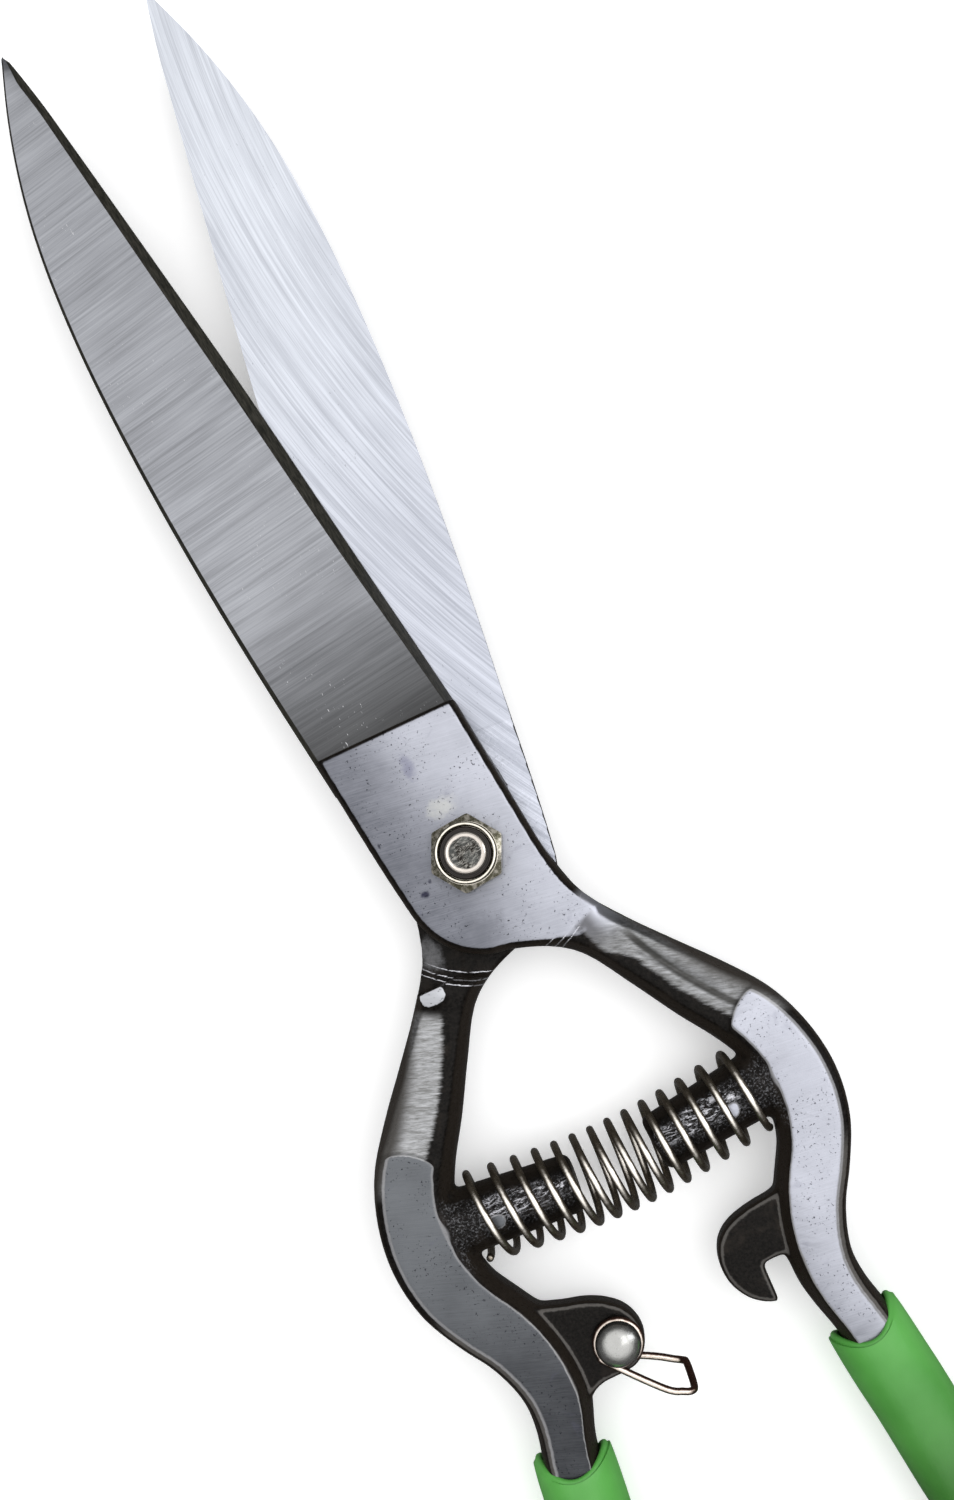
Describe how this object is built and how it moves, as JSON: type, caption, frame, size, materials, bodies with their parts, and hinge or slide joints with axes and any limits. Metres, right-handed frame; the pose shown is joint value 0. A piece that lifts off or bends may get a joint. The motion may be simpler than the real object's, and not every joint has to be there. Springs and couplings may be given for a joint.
{
  "type": "grass shears",
  "caption": "Grass shears: crossed forged limbs on a bolt, opened by a coil spring, with dipped grips and a wire latch that holds them shut.",
  "frame": {"origin": "on the pivot axis, at the outer face of the bolt head, which the shears lie on", "axes": "+Y along the tool to the blade tips, +X to the handle with the hook, +Z from the bolt head to the nut"},
  "size_m": [0.095, 0.4014, 0.0264],
  "materials": {
    "forged_steel_front": "drop-forged steel, near black as forged, ground bright on the blade, hub face and handle flats",
    "forged_steel_rear": "drop-forged steel, near black as forged, inner blade face ground almost white in long arcs",
    "bolt_steel": "bright nickel plate with a faint yellow tone",
    "nylon": "dark nylon",
    "spring_wire": "drawn spring wire, nickel plated, with brownish darks",
    "grip_vinyl": "satin green dipped vinyl",
    "latch_wire": "bent wire, nickel plated"
  },
  "bodies": {
    "front_limb": {"front_limb": "forged_steel_front", "front_grip": "grip_vinyl", "pivot_bolt": "bolt_steel", "pivot_nut": "bolt_steel", "nut_insert": "nylon", "return_spring": "spring_wire"},
    "rear_limb": {"rear_limb": "forged_steel_rear", "rear_grip": "grip_vinyl", "latch_rivet": "bolt_steel"},
    "latch_bail": {"latch_bail": "latch_wire"}
  },
  "joints": [
    {"name": "blade_pivot", "type": "hinge", "parent": "front_limb", "child": "rear_limb", "pos_m": [0, 0, 0.01165], "axis": [0, 0, 1], "range_deg": [-2, 10.6], "stiffness_Nm_per_rad": 3.1, "deforming": ["return_spring"]},
    {"name": "latch_swing", "type": "hinge", "parent": "rear_limb", "child": "latch_bail", "pos_m": [-0.0139, -0.0959, 0.01165], "axis": [0, 0, 1], "range_deg": [-60, 39]}
  ]
}
